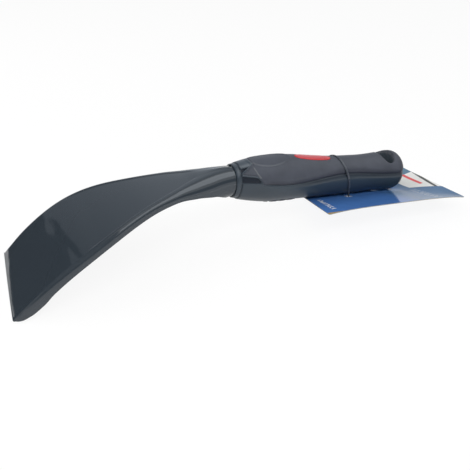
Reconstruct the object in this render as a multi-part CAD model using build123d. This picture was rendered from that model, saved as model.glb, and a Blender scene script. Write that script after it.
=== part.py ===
"""Roofing shovel: a curved, channel-edged blade with a rolled neck, set in a two-material handle.

Lengths are in millimetres.  The origin is the middle of the working edge, on the surface that the
tool rests on.  +X runs from the working edge towards the handle, +Y runs across, +Z points up.
"""
import os
from math import acos, atan2, cos, degrees, exp, log, pi, radians, sin, sqrt

from build123d import *

# ---------------------------------------------------------------- driving dimensions
# blade: one pressed sheet with turned-down rims that close into a neck
sheet = 1.6                 # thickness of the pressed sheet
blade_length = 137.2        # from the working edge to the handle's mouth
blade_half_width = 35.6     # half the blade's width where it is widest
blade_crown = 44.7          # height of the blade's highest point
neck_half_width = 9.6       # half the width of the closed neck
neck_insertion = 15.0       # length of neck held inside the handle
rim_radius = 3.0            # corner between the blade's face and its rim
rim_drop = 2.0              # straight part of the rim below that corner
seam = 0.3                  # shortest straight run left in any section
tip_slope = 44.0            # how steeply the face leaves the working edge, in degrees
neck_turn = 178.0           # angle that each side of the neck is rolled through, in degrees

# handle
handle_slope = 9.0          # the handle's axis falls towards its rear end, in degrees
mouth_drop = 10.05          # how far the axis at the handle's mouth lies under the blade's crown
handle_length = 131.5
belly_radius = 14.95        # radius of the handle where it is thickest
end_rounding = 6.0
fit_gap = 0.05              # clearance of the pieces that are moulded or pushed round each other
collar_length = 2.6
collar_lip = 0.6            # how much the collar's radius grows along its length
collar_edge = 0.4           # rounding of the collar's front edge
groove_width = 0.6
groove_depth = 0.5
grip_thickness = 2.0
pad_thickness = 1.8
pocket_depth = 1.2

# tang: the steel bar that carries the neck inside the handle
plug_lead = 2.0             # how far the tang's plug reaches forward of the mouth, inside the neck
tang_radius = 5.0
tang_reach = 84.0           # how far the round bar runs into the handle
paddle_length = 16.0        # flattened end that stops the tang from turning
paddle_width = 15.0
paddle_thickness = 4.0

# ribbed pad under the belly
pad_centre = 35.2
pad_length = 27.0
pad_width = 21.0
pad_proud = 0.3             # how far the ribs stand out of the handle
rib_pitch = 6.1             # distance between two grooves, along the handle
groove_count = 4
rib_groove = 1.6
rib_depth = 0.6

# badge on top
badge_centre = 57.6
badge_length = 27.8
badge_width = 7.2
badge_proud = 0.25
badge_sunk = 0.9

# hang hole near the rear end
hole_radius = 4.75
hole_to_end = 13.5
dish_length = 5.3           # half the dish's size along the handle, at dish_top
dish_width = 12.2           # half the dish's size across the handle, at dish_top
dish_top = 15.0
dish_floor = 2.0
dish_shelf = 0.2            # flat between the dish's floor and the round hole, along the handle
dish_shoulder = 0.8         # the same flat, across the handle
lower_flare = 7.5           # radius of the lower mouth, at lower_level below the axis
lower_level = 15.0
lower_floor = 9.0

# retail card: a stiff printed sheet, held under the handle, with its near edge in the air
card_length = 101.0
card_depth = 71.0
card_thickness = 0.5
card_corner = (186.0, -38.6)  # X and Y of the near corner at the blade's side
card_turn = -6.4            # the near edge's direction, in degrees from +X
card_lift_front = 18.6      # height of the near edge's end towards the blade
card_lift_rear = 11.8       # height of its other end
card_bow = 2.1              # how much the near edge's middle stands above its ends
press_height = 10.65        # height of the card under the handle's middle, at the card's front end
press_fall = 0.152          # how the card falls towards the rear there, under the sloping handle
press_end = 78.0            # along the card, where the handle's rear end presses it down
press_rise = 0.365          # change of slope behind that place
press_blend = 4.0           # length over which the slope changes
card_floor = 0.35           # height of the card's middle layer where it lies on the surface
card_blend = 0.8            # softness of the bend where the card meets the surface
card_hole_radius = 2.4

# cable tie round the handle and through the card
tie_thickness = 0.7
tie_width = 1.7
tie_gap = 0.1
tie_lean = 9.7              # the loop's plane leans back by this angle, in degrees
tie_station = 82.0          # where the loop's plane meets the handle's axis
tie_near = -11.8            # across the handle, at the near card hole
tie_far = 11.0
tie_below = 0.9             # gap between the card and the middle of the strap under it
lock_length = 5.0
lock_width = 4.2
lock_height = 3.2
lock_edge = 0.5             # rounding of the lock's edges

beyond = 60.0               # reaches past any piece, for cuts that go right through
overcut = 1.0               # how far a bore's cutter sticks out past the end it opens

# ---------------------------------------------------------------- outlines with few points
# The first columns are shares of a driving length, so that an outline stretches with its piece.
# blade: share of blade_length, share of blade_crown, share of blade_half_width, corner radius,
# angle that the corner turns, straight rim below the corner
blade_sections = [
    (0.0000, 0.0257, 0.9101, rim_radius, 8.0, seam),
    (0.0095, 0.0538, 0.9466, rim_radius, 72.0, seam + 0.2),
    (0.0255, 0.1018, 0.9607, rim_radius, 87.0, rim_drop - 0.3),
    (0.0583, 0.1879, 0.9775, rim_radius, 90.0, rim_drop + 1.0),
    (0.0977, 0.2842, 0.9900, rim_radius, 90.0, rim_drop + 1.2),
    (0.1458, 0.3848, 1.0000, rim_radius, 90.0, rim_drop + 0.4),
    (0.2915, 0.6421, 0.9747, rim_radius, 90.0, rim_drop),
    (0.4373, 0.8121, 0.8287, rim_radius, 90.0, rim_drop),
    (0.5831, 0.9128, 0.6124, rim_radius + 0.3, 90.0, rim_drop - 0.3),
    (0.7143, 0.9620, 0.4719, rim_radius + 2.0, 90.0, seam + 0.4),
    (0.8017, 0.9866, 0.4045, rim_radius + 5.0, 91.0, seam),
    (0.8892, 1.0000, 0.3427, neck_half_width + 0.2, 101.0, seam),
    (0.9475, 1.0000, 0.2978, neck_half_width, 128.0, seam),
]
# handle: share of handle_length from the mouth, share of belly_radius, sag of the centre
handle_sections = [
    (0.0000, 0.6957, 0.0),
    (0.0381, 0.7893, 0.0),
    (0.0837, 0.8696, 0.0),
    (0.1445, 0.9498, 0.0),
    (0.2281, 1.0000, 0.0),
    (0.3346, 0.9766, 0.1),
    (0.4562, 0.9231, 0.8),
    (0.5856, 0.8829, 1.2),
    (0.7148, 0.8696, 1.2),
    (0.8518, 0.8896, 0.5),
    (0.9429, 0.9250, -0.2),
    (1.0000, 0.9000, -0.2),
]
# parting line between the soft grip and the hard core: share of handle_length along the axis,
# share of belly_radius above it
parting = [
    (0.1255, 0.1605),
    (0.2433, 0.0870),
    (0.3802, 0.1472),
    (0.5019, 0.2742),
    (0.6388, 0.3411),
    (0.7908, 0.2542),
    (0.9126, 0.2207),
    (1.0457, 0.2809),
]
# front border of the soft grip, from the top down: it has a pointed tab between two pockets
grip_front = [
    (0.0874, 1.4716),
    (0.0874, 0.8294),
    (0.0715, 0.7759),
    (0.0289, 0.5151),
    (0.1004, 0.4749),
    (0.1156, 0.3211),
]
# pocket in the core's side, under that tab
lower_pocket = [
    (0.0236, 0.4682),
    (0.0958, 0.4348),
    (0.1111, 0.3077),
    (0.1126, 0.2007),
    (0.0236, 0.2007),
]
# pocket over that tab
upper_pocket = [
    (0.0236, 0.5552),
    (0.0236, 0.6823),
    (0.0669, 0.7692),
]

# ---------------------------------------------------------------- frames
slope = radians(handle_slope)
axis = Vector(cos(slope), 0, -sin(slope))
above = Vector(sin(slope), 0, cos(slope))
mouth_point = Vector(blade_length, 0, blade_crown - mouth_drop)
side_plane = Plane(origin=mouth_point, x_dir=axis, z_dir=(0, -1, 0))
plan_plane = Plane(origin=mouth_point, x_dir=axis, z_dir=above)


def on_axis(along, up=0.0):
    """A point in the handle's middle plane, by its distance along the axis and above it."""
    return mouth_point + axis * along + above * up


def handle_section(along):
    """The handle's radius and the sag of its centre, at a distance along the axis."""
    place = along / handle_length
    for low, high in zip(handle_sections, handle_sections[1:]):
        if low[0] <= place <= high[0]:
            share = (place - low[0]) / (high[0] - low[0])
            radius = low[1] + share * (high[1] - low[1])
            return radius * belly_radius, low[2] + share * (high[2] - low[2])
    return handle_sections[-1][1] * belly_radius, handle_sections[-1][2]


def side_points(outline):
    """A side-view outline in lengths along and above the handle's axis."""
    return [(along * handle_length, up * belly_radius) for along, up in outline]


# ---------------------------------------------------------------- blade
def sheet_section(plane, half_width, radius, turn, rim):
    """The sheet's outline across the blade: face, two corners and two rims."""
    angle = radians(turn)
    flat = half_width - radius * sin(min(angle, pi / 2))
    inner = radius - sheet
    mid = angle / 2

    def corner(side, size, part):
        return (side * (flat + size * sin(part)), -radius + size * cos(part))

    def rim_end(side, offset):
        end = corner(side, radius - offset, angle)
        return (end[0] + side * rim * cos(angle), end[1] - rim * sin(angle))

    with BuildSketch(plane) as sketch:
        with BuildLine():
            Line(rim_end(-1, 0), corner(-1, radius, angle))
            ThreePointArc(corner(-1, radius, angle), corner(-1, radius, mid), corner(-1, radius, 0))
            Line(corner(-1, radius, 0), corner(1, radius, 0))
            ThreePointArc(corner(1, radius, 0), corner(1, radius, mid), corner(1, radius, angle))
            Line(corner(1, radius, angle), rim_end(1, 0))
            Line(rim_end(1, 0), rim_end(1, sheet))
            Line(rim_end(1, sheet), corner(1, inner, angle))
            ThreePointArc(corner(1, inner, angle), corner(1, inner, mid), corner(1, inner, 0))
            Line(corner(1, inner, 0), corner(-1, inner, 0))
            ThreePointArc(corner(-1, inner, 0), corner(-1, inner, mid), corner(-1, inner, angle))
            Line(corner(-1, inner, angle), rim_end(-1, sheet))
            Line(rim_end(-1, sheet), rim_end(-1, 0))
        make_face()
    return sketch.sketch.face()


def make_blade():
    neck_radius = neck_half_width - seam
    neck_top = on_axis(0, neck_radius)
    spine_points = [(x * blade_length, 0, z * blade_crown) for x, z, *_ in blade_sections]
    spine_points.append((neck_top.X, 0, neck_top.Z))
    start = Vector(cos(radians(tip_slope)), 0, sin(radians(tip_slope)))
    spine = Spline(*spine_points, tangents=(start, axis))
    faces = []
    for point, (_, _, width, radius, turn, rim) in zip(spine_points, blade_sections):
        plane = Plane(origin=point, x_dir=(0, 1, 0), z_dir=spine % spine.param_at_point(point))
        faces.append(sheet_section(plane, width * blade_half_width, radius, turn, rim))
    neck_plane = Plane(origin=neck_top, x_dir=(0, 1, 0), z_dir=axis)
    neck_face = sheet_section(neck_plane, neck_half_width, neck_radius, neck_turn, seam)
    faces.append(neck_face)
    return loft(faces) + extrude(neck_face, amount=neck_insertion, dir=axis)


# ---------------------------------------------------------------- handle
def handle_body(inset):
    """The handle's whole outside, moved inwards by inset; its front face stays in the mouth."""
    end = handle_length - inset
    circles = []
    for along, share, sag in handle_sections[:-1]:
        centre = on_axis(along * handle_length, -sag)
        radius = share * belly_radius
        circles.append(Plane(centre, x_dir=(0, 1, 0), z_dir=axis) * Circle(radius - inset))
    last_radius = handle_sections[-1][1] * belly_radius
    circles.append(Plane(on_axis(end), x_dir=(0, 1, 0), z_dir=axis) * Circle(last_radius - inset))
    body = loft(Sketch() + circles)
    end_edge = body.faces().sort_by(Axis(mouth_point, axis))[-1].edges()
    return fillet(end_edge, end_rounding - inset)


def along_axis(start, end, radius):
    """A round bar on the handle's axis."""
    return extrude(Plane(on_axis(start), z_dir=axis) * Circle(radius), end - start)


def side_prism(sketch):
    """A side-view sketch, drawn along and above the axis, carried right across the handle."""
    return extrude(side_plane * sketch, amount=beyond, both=True)


def soft_region():
    """Everything above the parting line and behind the grip's front border."""
    front = side_points(grip_front)
    border = side_points(parting)
    rear_top = (border[-1][0], front[0][1])
    with BuildSketch() as sketch:
        with BuildLine():
            Polyline(*front, border[0])
            Spline(*border)
            Polyline(border[-1], rear_top, front[0])
        make_face()
    return side_prism(sketch.sketch)


def hang_hole():
    """Round hole through the handle with a wide dish on top and a flared lower mouth."""
    along = handle_length - hole_to_end

    def level(height):
        return Plane(on_axis(along, height), x_dir=axis, z_dir=above)

    bore = extrude(level(-lower_level) * Circle(hole_radius), amount=lower_level + dish_top)
    dish_bottom = Ellipse(hole_radius + dish_shelf, hole_radius + dish_shoulder)
    dish = loft(Sketch() + [level(dish_floor) * dish_bottom, level(dish_top) * Ellipse(dish_length, dish_width)])
    flare = loft(Sketch() + [level(-lower_level) * Circle(lower_flare),
                             level(-lower_floor) * Circle(hole_radius)])
    return bore + dish + flare


def pad_region():
    plan = plan_plane * Pos(pad_centre, 0) * SlotOverall(pad_length, pad_width)
    return extrude(plan, amount=-beyond)


def badge_region():
    plan = plan_plane * Pos(badge_centre, 0) * Ellipse(badge_length / 2, badge_width / 2)
    return extrude(plan, amount=beyond)


def rib_grooves():
    """Straight grooves across the pad, kept to its outermost layer."""
    grooves = []
    for index in range(groove_count):
        along = pad_centre + (index - (groove_count - 1) / 2) * rib_pitch
        plane = Plane(on_axis(along), x_dir=axis, z_dir=-above)
        groove = Box(rib_groove, beyond, beyond, align=(Align.CENTER, Align.CENTER, Align.MIN))
        grooves.append(plane * groove)
    layer = handle_body(-pad_proud) - handle_body(rib_depth - pad_proud)
    return layer & (Part() + grooves)


def make_tang():
    """Plug in the neck, round bar, and a flattened end."""
    plug_radius = neck_half_width - seam - sheet - fit_gap
    plug = along_axis(-plug_lead, neck_insertion, plug_radius)
    bar = along_axis(neck_insertion, tang_reach, tang_radius)
    paddle = paddle_box(0)
    return plug + bar + paddle


def paddle_box(clearance):
    """The tang's flattened end, or its pocket when a clearance is given."""
    start = tang_reach - paddle_length
    length = paddle_length + 2 * clearance
    plane = Plane(on_axis(start - clearance), x_dir=(0, 1, 0), z_dir=axis)
    section = Rectangle(paddle_width + 2 * clearance, paddle_thickness + 2 * clearance)
    return extrude(plane * section, amount=length)


def make_collar():
    front = Plane(on_axis(0), z_dir=axis)
    back = Plane(on_axis(collar_length), z_dir=axis)
    radius, _ = handle_section(0)
    ring = loft(Sketch() + [front * Circle(radius), back * Circle(radius + collar_lip)])
    ring = fillet(ring.faces().sort_by(Axis(mouth_point, axis))[0].edges(), collar_edge)
    return ring - along_axis(-overcut, collar_length + overcut, neck_half_width + fit_gap)


def make_handle():
    """Returns the core, the soft grip, the ribbed pad and the badge."""
    outer = handle_body(0)
    skin = outer - handle_body(grip_thickness)
    hole = hang_hole()
    badge_space = (outer - handle_body(badge_sunk)) & badge_region()
    grip_space = skin & soft_region()
    grip = grip_space - badge_space - hole
    pad_space = (outer - handle_body(pad_thickness)) & pad_region()
    pad = (handle_body(-pad_proud) - handle_body(pad_thickness)) & pad_region()
    pad -= rib_grooves()
    badge = (handle_body(-badge_proud) - handle_body(badge_sunk)) & badge_region()

    drilled = outer - hole
    core = drilled - grip_space - pad_space
    core -= along_axis(-overcut, collar_length, beyond)
    core -= along_axis(0, neck_insertion + fit_gap, neck_half_width + fit_gap)
    core -= along_axis(0, tang_reach + fit_gap, tang_radius + fit_gap)
    core -= paddle_box(fit_gap)
    core -= groove_ring()
    pocket_layer = outer - handle_body(pocket_depth)
    for outline in (lower_pocket, upper_pocket):
        core -= pocket_layer & side_prism(make_face(Polyline(*side_points(outline), close=True)))
    return core, grip, pad, badge


def groove_ring():
    """The shadow groove between the collar and the core."""
    mouth_radius, _ = handle_section(0)
    floor = mouth_radius + collar_lip - groove_depth
    end = collar_length + groove_width
    return along_axis(collar_length, end, beyond) - along_axis(0, end, floor)


# ---------------------------------------------------------------- retail card
card_along = Vector(cos(radians(card_turn)), sin(radians(card_turn)))
card_across = Vector(-card_along.Y, card_along.X)


def softened(value, width):
    """The value where it is above 0, otherwise 0, with a rounded corner of that width between."""
    return width * log(1 + exp(value / width))


def card_height(along, across):
    """Height of the card's middle layer.

    The card falls from its raised near edge to the line where the handle presses on it, runs on
    at the same slope and bends to lie on the surface.
    """
    share = along / card_length
    near = card_lift_front + (card_lift_rear - card_lift_front) * share
    bow = card_bow * (1 - (2 * share - 1) ** 4)
    pressed = press_height - press_fall * along + press_rise * softened(along - press_end, press_blend)
    middle = -(card_corner[1] + along * card_along.Y) / card_across.Y
    rest = 1 - across / middle
    raised = pressed + (near - pressed) * rest + bow * max(rest, 0) ** 2
    return card_floor + softened(raised - card_floor, card_blend)


def card_point(along, across):
    spot = Vector(*card_corner) + card_along * along + card_across * across
    return Vector(spot.X, spot.Y, card_height(along, across))


def card_height_at(x, y):
    offset = Vector(x, y) - Vector(*card_corner)
    return card_height(offset.dot(card_along), offset.dot(card_across))


def make_card():
    rows = 13
    columns = 13
    grid = [
        [card_point(card_length * i / (rows - 1), card_depth * j / (columns - 1)) for j in range(columns)]
        for i in range(rows)
    ]
    lowered = [[point - Vector(0, 0, card_thickness / 2) for point in row] for row in grid]
    surface = Face.make_surface_from_array_of_points(lowered, tol=0.02)
    card = Solid.extrude(surface, Vector(0, 0, card_thickness))
    for spot in tie_holes():
        card -= Pos(spot.X, spot.Y, 0) * Cylinder(card_hole_radius, beyond)
    return card


# ---------------------------------------------------------------- cable tie
lean = radians(tie_lean)
tie_radius, tie_sag = handle_section(tie_station)
tie_centre = on_axis(tie_station, -tie_sag)
tie_up = Vector(-sin(lean), 0, cos(lean))
tie_plane = Plane(origin=tie_centre, x_dir=(0, 1, 0), z_dir=Vector(0, 1, 0).cross(tie_up))


def tie_drop(across):
    """How far below the loop's centre, in its plane, the card's middle layer lies."""
    low = 0.0
    high = beyond
    for _ in range(40):
        guess = (low + high) / 2
        spot = tie_centre + Vector(0, across, 0) - tie_up * guess
        if spot.Z > card_height_at(spot.X, spot.Y):
            low = guess
        else:
            high = guess
    return low


def tie_holes():
    """Centres of the two holes that the strap passes through."""
    return [
        tie_centre + Vector(0, across, 0) - tie_up * tie_drop(across)
        for across in (tie_near, tie_far)
    ]


def tie_slack():
    """How far the card dips below the straight line between its two holes."""
    span = tie_far - tie_near
    near_drop = tie_drop(tie_near)
    slant = (tie_drop(tie_far) - near_drop) / span
    steps = [span * i / 20 for i in range(21)]
    return max(tie_drop(tie_near + step) - near_drop - slant * step for step in steps)


def tie_legs(offset):
    """The straight runs down to the holes and under the card, moved out from the inner face."""
    radius = tie_radius + tie_gap + offset
    stretch = 1 / cos(lean + slope)
    half = tie_thickness / 2
    low = tie_slack() + tie_below + card_thickness / 2 + offset
    near_corner = (tie_near + half - offset, -tie_drop(tie_near) - low)
    far_corner = (tie_far - half + offset, -tie_drop(tie_far) - low)

    def tangent_point(corner, side):
        """Where a straight leg from the corner meets the loop, found on a round handle."""
        y = corner[0]
        q = corner[1] / stretch
        distance = sqrt(y * y + q * q)
        angle = atan2(q, y) + side * acos(radius / distance)
        return (radius * cos(angle), radius * sin(angle) * stretch)

    near_leg = tangent_point(near_corner, -1)
    far_leg = tangent_point(far_corner, 1)
    outline = make_face(Polyline((0, 0), near_leg, near_corner, far_corner, far_leg, close=True))
    return extrude(tie_plane * outline, tie_width / 2, both=True)


def make_tie():
    """The strap lies flat on the handle, runs through the card and closes in a lock under it."""
    slab = extrude(tie_plane * Rectangle(beyond, beyond), tie_width / 2, both=True)
    outside = (handle_body(-tie_gap - tie_thickness) & slab) + tie_legs(tie_thickness)
    strap = outside - handle_body(-tie_gap) - tie_legs(0)
    near_low = -tie_drop(tie_near)
    far_low = -tie_drop(tie_far)
    tilt = degrees(atan2(far_low - near_low, tie_far - tie_near))
    middle = (near_low + far_low) / 2 - tie_slack() - tie_below - card_thickness / 2
    lock_plane = tie_plane * Pos(0, middle, 0) * Rot(0, 0, tilt)
    block = Box(lock_length, lock_height, lock_width, align=(Align.CENTER, Align.MAX, Align.CENTER))
    return strap + lock_plane * fillet(block.edges(), lock_edge)


# ---------------------------------------------------------------- build
def build():
    core, grip, pad, badge = make_handle()
    return {
        "blade": make_blade(),
        "tang": make_tang(),
        "front_collar": make_collar(),
        "handle_core": core,
        "upper_grip": grip,
        "finger_grip": pad,
        "badge": badge,
        "sales_card": make_card(),
        "card_tie": make_tie(),
    }


os.makedirs("parts", exist_ok=True)
for name, piece in build().items():
    export_step(piece, f"parts/{name}.step")
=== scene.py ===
"""Looks of the roofing shovel: fine meshes, materials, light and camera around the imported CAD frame."""
from math import acos, atan2, cos, pi, radians, sin, sqrt, tan

import bpy
import numpy as np
from mathutils import Matrix, Vector


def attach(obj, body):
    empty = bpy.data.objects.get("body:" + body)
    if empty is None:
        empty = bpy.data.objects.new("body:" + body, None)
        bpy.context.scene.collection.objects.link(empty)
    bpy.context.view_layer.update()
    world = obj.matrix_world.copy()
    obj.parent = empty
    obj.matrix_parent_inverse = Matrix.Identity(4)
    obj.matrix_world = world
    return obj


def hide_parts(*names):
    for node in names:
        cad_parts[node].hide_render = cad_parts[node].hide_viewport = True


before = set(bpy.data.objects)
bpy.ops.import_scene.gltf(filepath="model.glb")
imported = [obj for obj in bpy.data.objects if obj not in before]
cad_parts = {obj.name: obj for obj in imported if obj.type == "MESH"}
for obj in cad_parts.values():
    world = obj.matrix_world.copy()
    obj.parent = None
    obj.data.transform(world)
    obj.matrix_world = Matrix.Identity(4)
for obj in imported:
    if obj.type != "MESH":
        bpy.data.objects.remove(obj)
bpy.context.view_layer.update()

MM = 0.001
ROOT = "root"

# ---------- sizes, in millimetres
# They are the CAD's, but for a thinner strap, a lower collar, smaller card holes and blunter badge ends.
blade_length = 137.2
sheet = 1.6
neck_end = 138.65
neck_half_width = 9.6
neck_insertion = 15.0

handle_slope = radians(9.0)
mouth_height = 34.65
handle_length = 131.5
end_rounding = 6.0
collar_length = 2.6
collar_lip = 0.4
groove_width, groove_depth = 0.6, 0.3

pad_centre, pad_length, pad_width = 35.2, 27.0, 21.0
badge_centre, badge_length, badge_width = 57.6, 27.8, 7.2
badge_power = 2.8
hole_station = handle_length - 13.5
hole_radius = 4.75
lower_floor, lower_level, lower_flare = 9.0, 15.0, 7.5

card_length, card_depth, card_thickness = 101.0, 71.0, 0.5
card_corner = np.array([186.0, -38.6])
card_corner_radius = 1.5
card_turn = radians(-6.4)
card_hole_radius = 1.5

tie_station = 82.0
tie_lean = radians(9.7)
tie_thickness, tie_width, tie_gap = 0.5, 1.35, 0.1
tie_near, tie_far, tie_below = -11.8, 11.0, 0.9
tie_rounding = 0.2

# the handle's directions, and the middle of its mouth
axis = np.array([cos(handle_slope), 0, -sin(handle_slope)])
above = np.array([sin(handle_slope), 0, cos(handle_slope)])
across = np.array([0.0, 1.0, 0.0])
mouth = np.array([blade_length, 0, mouth_height])


# ---------- curves through a few points
def spline(points):
    """A smooth cubic curve through (x, y) points, with natural ends."""
    x, y = np.array(points, float).T
    n = len(x)
    h = np.diff(x)
    m = np.eye(n)
    for i in range(1, n - 1):
        m[i, i - 1:i + 2] = h[i - 1], 2 * (h[i - 1] + h[i]), h[i]
    bend = np.linalg.solve(m, np.concatenate([[0], 6 * np.diff(np.diff(y) / h), [0]]))

    def value(at):
        at = np.asarray(at, float)
        k = np.clip(np.searchsorted(x, at) - 1, 0, n - 2)
        a = (x[k + 1] - at) / h[k]
        b = 1 - a
        curve = ((a ** 3 - a) * bend[k] + (b ** 3 - b) * bend[k + 1]) * h[k] ** 2 / 6
        return a * y[k] + b * y[k + 1] + curve

    return value


def eased(points):
    """A curve through (x, y) points that never overshoots between two of them."""
    x, y = np.array(points, float).T
    h = np.diff(x)
    rise = np.diff(y) / h
    slope = np.zeros(len(x))
    slope[0], slope[-1] = rise[0], rise[-1]
    for i in range(1, len(x) - 1):
        if rise[i - 1] * rise[i] > 0:
            w1 = 2 * h[i] + h[i - 1]
            w2 = h[i] + 2 * h[i - 1]
            slope[i] = (w1 + w2) / (w1 / rise[i - 1] + w2 / rise[i])

    def value(at):
        at = np.clip(np.asarray(at, float), x[0], x[-1])
        k = np.clip(np.searchsorted(x, at) - 1, 0, len(x) - 2)
        t = (at - x[k]) / h[k]
        return (y[k] * (1 + 2 * t) * (1 - t) ** 2 + slope[k] * h[k] * t * (1 - t) ** 2
                + y[k + 1] * t * t * (3 - 2 * t) + slope[k + 1] * h[k] * t * t * (t - 1))

    return value


def step(d, width):
    """0 below -width, 1 above width, with a smooth rise between."""
    t = np.clip((np.asarray(d, float) / width + 1) / 2, 0, 1)
    return t * t * (3 - 2 * t)


def halved(low, high, rounds, holds):
    """The place from low to high up to which something holds, found by halving the stretch."""
    for _ in range(rounds):
        middle = (low + high) / 2
        further = holds(middle)
        low, high = np.where(further, middle, low), np.where(further, high, middle)
    return low


def bell(distance, width):
    """1 at distance 0, falling smoothly to 0 over about twice that width."""
    return np.exp(-(distance / width) ** 2)


def round_turn(count):
    """That many angles, evenly spread over a whole turn."""
    return np.linspace(0, 2 * pi, count + 1)[:-1]


# ---------- mesh helpers
def grid_faces(rows, columns, closed=False):
    """Quads of a grid of points, row after row; closed joins the last column to the first."""
    faces = []
    for i in range(rows - 1):
        for j in range(columns if closed else columns - 1):
            k = (j + 1) % columns
            faces.append((i * columns + j, i * columns + k, (i + 1) * columns + k, (i + 1) * columns + j))
    return faces


def ring_faces(rows, columns):
    """Quads of a closed ring whose last row is joined to its first as well."""
    faces = grid_faces(rows + 1, columns, closed=True)
    return [tuple(i % (rows * columns) for i in face) for face in faces]


def clip(points, faces, fields, column):
    """Keeps the part of the mesh where fields[:, column] is above 0, cut exactly along 0."""
    value = fields[:, column]
    inside = value > 0
    rows = np.hstack([points, fields])
    kept, extra, crossings = [], [], {}

    def crossing(low, high):
        if (low, high) not in crossings:
            t = min(max(value[low] / (value[low] - value[high]), 0.001), 0.999)
            crossings[low, high] = len(rows) + len(extra)
            extra.append(rows[low] * (1 - t) + rows[high] * t)
        return crossings[low, high]

    for face in faces:
        flags = [inside[i] for i in face]
        if all(flags):
            kept.append(face)
        elif any(flags):
            cut = []
            for a, b in zip(face, face[1:] + face[:1]):
                if inside[a]:
                    cut.append(a)
                if inside[a] != inside[b]:
                    cut.append(crossing(min(a, b), max(a, b)))
            if len(cut) > 2:
                kept.append(tuple(cut))
    if extra:
        rows = np.vstack([rows, extra])
        rows[len(value):, 3 + column] = 0
    used = sorted({i for face in kept for i in face})
    new = {old: k for k, old in enumerate(used)}
    return rows[used, :3], [tuple(new[i] for i in face) for face in kept], rows[used, 3:]


def clip_all(mesh, *columns):
    """Clips a mesh, which is (points, faces, fields), by several columns in turn."""
    for column in columns:
        mesh = clip(*mesh, column)
    return mesh


def thicken(points, faces, inner):
    """Closes an open skin with the same skin at the points inner, turned over, and with side walls."""
    n = len(points)
    turned = [tuple(i + n for i in reversed(face)) for face in faces]
    edges = {edge for face in faces for edge in zip(face, face[1:] + face[:1])}
    walls = [(b, a, a + n, b + n) for a, b in edges if (b, a) not in edges]
    return np.vstack([points, inner]), faces + turned + walls


def add_object(name, data):
    obj = bpy.data.objects.new(name, data)
    bpy.context.scene.collection.objects.link(obj)
    return obj


def piece(name, points, faces, material, slot, *nodes, sharp=None):
    """A shaded mesh that rides on the root body and stands for its CAD nodes."""
    mesh = bpy.data.meshes.new(name)
    mesh.from_pydata((np.asarray(points) * MM).tolist(), [], faces)
    mesh.validate()
    mesh.update()
    obj = add_object(name, mesh)
    mesh.shade_smooth()
    if sharp is not None:
        mesh.set_sharp_from_angle(angle=radians(sharp))
    mesh.materials.append(material)
    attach(obj, ROOT)
    if nodes:
        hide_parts(*nodes)
    return obj


# ---------- shader helpers
def new_material(name, color, roughness, specular=0.5):
    material = bpy.data.materials.new(name)
    material.use_nodes = True
    tree = material.node_tree
    shader = tree.nodes["Principled BSDF"]
    shader.inputs["Base Color"].default_value = (*color, 1)
    shader.inputs["Roughness"].default_value = roughness
    shader.inputs["Specular IOR Level"].default_value = specular
    return material, tree, shader


def is_socket(value):
    return isinstance(value, bpy.types.NodeSocket)


def fill(entry, value):
    """Links a socket to a node's input, or writes a plain value on the input."""
    if is_socket(value):
        entry.id_data.links.new(value, entry)
    else:
        entry.default_value = value


def feed(shader, name, value):
    fill(shader.inputs[name], value)


def node(tree, kind, inputs=(), **settings):
    made = tree.nodes.new(kind)
    for key, value in settings.items():
        setattr(made, key, value)
    for key, value in dict(inputs).items():
        fill(made.inputs[key], value)
    return made


# the helpers below work in the tree of the socket that they get
def noise(vector, scale, detail=2.0, roughness=0.5):
    inputs = {"Vector": vector, "Scale": scale, "Detail": detail, "Roughness": roughness}
    return node(vector.id_data, "ShaderNodeTexNoise", inputs).outputs["Fac"]


def mapped(value, low, high, to_low=0.0, to_high=1.0):
    """The value moved from one range to another and held inside it."""
    inputs = {"Value": value, "From Min": low, "From Max": high, "To Min": to_low, "To Max": to_high}
    return node(value.id_data, "ShaderNodeMapRange", inputs).outputs["Result"]


def mixed(factor, first, second):
    """Colour mix; each colour is a socket or a triple."""
    made = node(factor.id_data, "ShaderNodeMix", {0: factor}, data_type="RGBA")
    for index, color in ((6, first), (7, second)):
        fill(made.inputs[index], color if is_socket(color) else (*color, 1))
    return made.outputs[2]


def calc(operation, first, second=0.0):
    tree = (first if is_socket(first) else second).id_data
    return node(tree, "ShaderNodeMath", {0: first, 1: second}, operation=operation).outputs[0]


def product(*values):
    result = values[0]
    for value in values[1:]:
        result = calc("MULTIPLY", result, value)
    return result


def bump(height, strength, distance, **normal):
    inputs = {"Height": height, "Strength": strength, "Distance": distance * MM, **normal}
    return node(height.id_data, "ShaderNodeBump", inputs).outputs["Normal"]


def grain(shader, at, scale, detail, strength, depth):
    """A fine grain over the whole surface."""
    feed(shader, "Normal", bump(noise(at, scale, detail), strength, depth))


def object_place(tree):
    return node(tree, "ShaderNodeTexCoord").outputs["Object"]


def mesh_share(tree, name):
    """The share of painted shade or painted light that a mesh carries at its points."""
    return node(tree, "ShaderNodeAttribute", attribute_name=name).outputs["Fac"]


def painted_light_and_shade(tree, color, painted_light_color, shade_color):
    """The colour, lightened where light is painted on the mesh and darkened where shade is painted on it."""
    color = mixed(mesh_share(tree, "painted_light"), color, painted_light_color)
    return mixed(mesh_share(tree, "shade"), color, shade_color)


def ray_share(tree, direct, mirrored):
    """The first share for rays from the camera, the second in gloss and glass, and 0 for all others."""
    path = node(tree, "ShaderNodeLightPath").outputs
    bent = calc("MAXIMUM", path["Is Glossy Ray"], path["Is Transmission Ray"])
    return calc("MAXIMUM", product(path["Is Camera Ray"], direct), product(bent, mirrored))


def show(tree, output):
    """Makes a shader's output the surface of the material."""
    fill(tree.nodes["Material Output"].inputs["Surface"], output)


def light(tree, color, strength):
    return node(tree, "ShaderNodeEmission", {"Color": (*color, 1), "Strength": strength}).outputs[0]


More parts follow.
